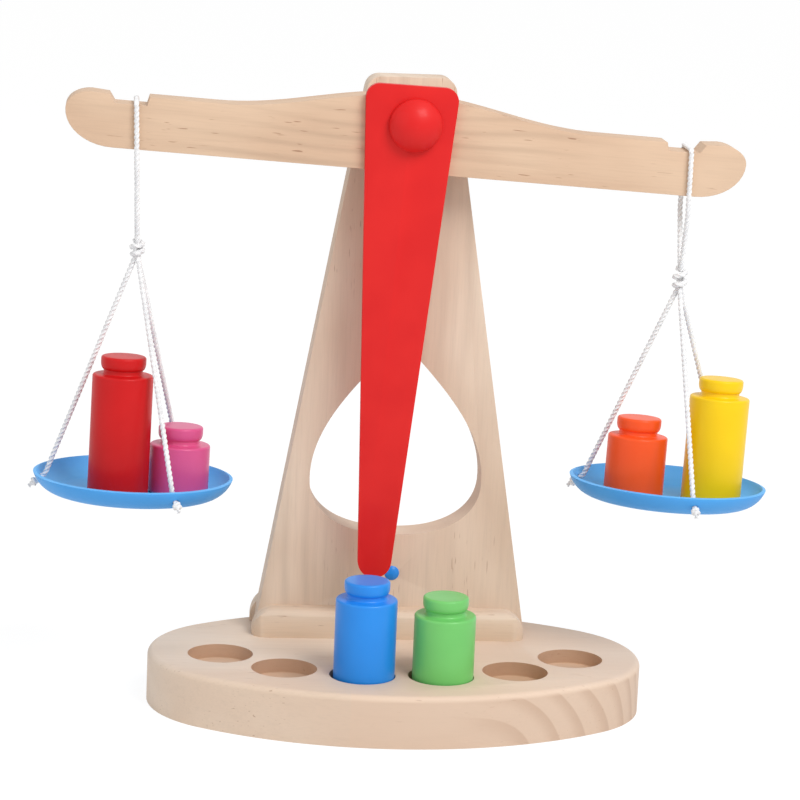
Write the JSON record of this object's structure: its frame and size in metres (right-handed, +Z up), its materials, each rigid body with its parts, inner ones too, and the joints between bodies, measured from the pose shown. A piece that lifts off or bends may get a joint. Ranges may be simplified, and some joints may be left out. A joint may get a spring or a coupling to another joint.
{
  "type": "toy balance scale",
  "caption": "Wooden toy balance: oval base with sockets, column with an egg-shaped window, pivoting beam with pointer, dishes on cords, turned weights.",
  "frame": {"origin": "middle of the base's underside", "axes": "+Z up, +X to the right along the beam seen from the front, -Y towards the front with the sockets"},
  "size_m": [0.3593, 0.148, 0.299],
  "materials": {
    "light_wood": "sanded, clear matte lacquer",
    "red_paint": "red gloss paint on wood",
    "blue_paint": "blue gloss paint on wood",
    "pink_paint": "pink gloss paint on wood",
    "orange_paint": "orange gloss paint on wood",
    "yellow_paint": "yellow gloss paint on wood",
    "green_paint": "green gloss paint on wood",
    "blue_satin": "blue satin",
    "steel": "zinc plated",
    "white_cord": "twisted white cotton"
  },
  "bodies": {
    "stand": {"base": "light_wood", "column": "light_wood", "front_cleat": "light_wood", "rear_cleat": "light_wood", "column_screws": "steel", "cleat_screws": "steel", "index_dot": "blue_paint"},
    "balance_beam": {"beam": "light_wood", "pointer": "red_paint", "pointer_pins": "light_wood", "axle": "steel", "front_washer": "light_wood", "rear_washer": "steel", "knob": "red_paint", "axle_cap": "light_wood"},
    "left_hanger_loop": {"left_loop": "white_cord"},
    "left_hanger_knot": {"left_knot": "white_cord"},
    "left_hanging_dish": {"left_string_outer": "white_cord", "left_string_front": "white_cord", "left_string_rear": "white_cord", "left_dish": "blue_satin"},
    "right_hanger_loop": {"right_loop": "white_cord"},
    "right_hanger_knot": {"right_knot": "white_cord"},
    "right_hanging_dish": {"right_string_outer": "white_cord", "right_string_front": "white_cord", "right_string_rear": "white_cord", "right_dish": "blue_satin"},
    "red_weight_body": {"red_weight": "red_paint"},
    "pink_weight_body": {"pink_weight": "pink_paint"},
    "orange_weight_body": {"orange_weight": "orange_paint"},
    "yellow_weight_body": {"yellow_weight": "yellow_paint"},
    "blue_weight_body": {"blue_weight": "blue_paint"},
    "green_weight_body": {"green_weight": "green_paint"}
  },
  "joints": [
    {"name": "beam_swing", "type": "hinge", "parent": "stand", "child": "balance_beam", "pos_m": [0, 0.0214, 0.279], "axis": [0, 1, 0], "range_deg": [-21, 15]},
    {"name": "left_loop_turn", "type": "hinge", "parent": "balance_beam", "child": "left_hanger_loop", "pos_m": [-0.13044, 0.0214, 0.28546], "axis": [0, 1, 0], "range_deg": [-15, 21]},
    {"name": "left_knot_swing", "type": "hinge", "parent": "left_hanger_loop", "child": "left_hanger_knot", "pos_m": [-0.12844, 0.0214, 0.21446], "axis": [0, 1, 0], "range_deg": [-6, 6]},
    {"name": "left_dish_swing", "type": "hinge", "parent": "left_hanger_knot", "child": "left_hanging_dish", "pos_m": [-0.12844, 0.0214, 0.21446], "axis": [1, 0, 0], "range_deg": [-8, 8]},
    {"name": "right_loop_turn", "type": "hinge", "parent": "balance_beam", "child": "right_hanger_loop", "pos_m": [0.13217, 0.0214, 0.27124], "axis": [0, 1, 0], "range_deg": [-15, 21]},
    {"name": "right_knot_swing", "type": "hinge", "parent": "right_hanger_loop", "child": "right_hanger_knot", "pos_m": [0.13217, 0.0214, 0.20724], "axis": [0, 1, 0], "range_deg": [-6, 6]},
    {"name": "right_dish_swing", "type": "hinge", "parent": "right_hanger_knot", "child": "right_hanging_dish", "pos_m": [0.13217, 0.0214, 0.20724], "axis": [1, 0, 0], "range_deg": [-8, 8]},
    {"name": "red_weight_lift", "type": "slide", "parent": "left_hanging_dish", "child": "red_weight_body", "axis": [-0.25, -0.433, 0.866], "range_m": [0, 0.07]},
    {"name": "pink_weight_lift", "type": "slide", "parent": "left_hanging_dish", "child": "pink_weight_body", "axis": [0, 0, 1], "range_m": [0, 0.07]},
    {"name": "orange_weight_lift", "type": "slide", "parent": "right_hanging_dish", "child": "orange_weight_body", "axis": [0, -0.342, 0.9397], "range_m": [0, 0.07]},
    {"name": "yellow_weight_lift", "type": "slide", "parent": "right_hanging_dish", "child": "yellow_weight_body", "axis": [0.2962, -0.171, 0.9397], "range_m": [0, 0.07]},
    {"name": "blue_weight_lift", "type": "slide", "parent": "stand", "child": "blue_weight_body", "axis": [0, 0, 1], "range_m": [0, 0.06]},
    {"name": "green_weight_lift", "type": "slide", "parent": "stand", "child": "green_weight_body", "axis": [0, 0, 1], "range_m": [0, 0.06]}
  ],
  "couplings": [
    {"joint": "left_loop_turn", "follows": "beam_swing", "ratio": -1},
    {"joint": "right_loop_turn", "follows": "beam_swing", "ratio": -1}
  ]
}
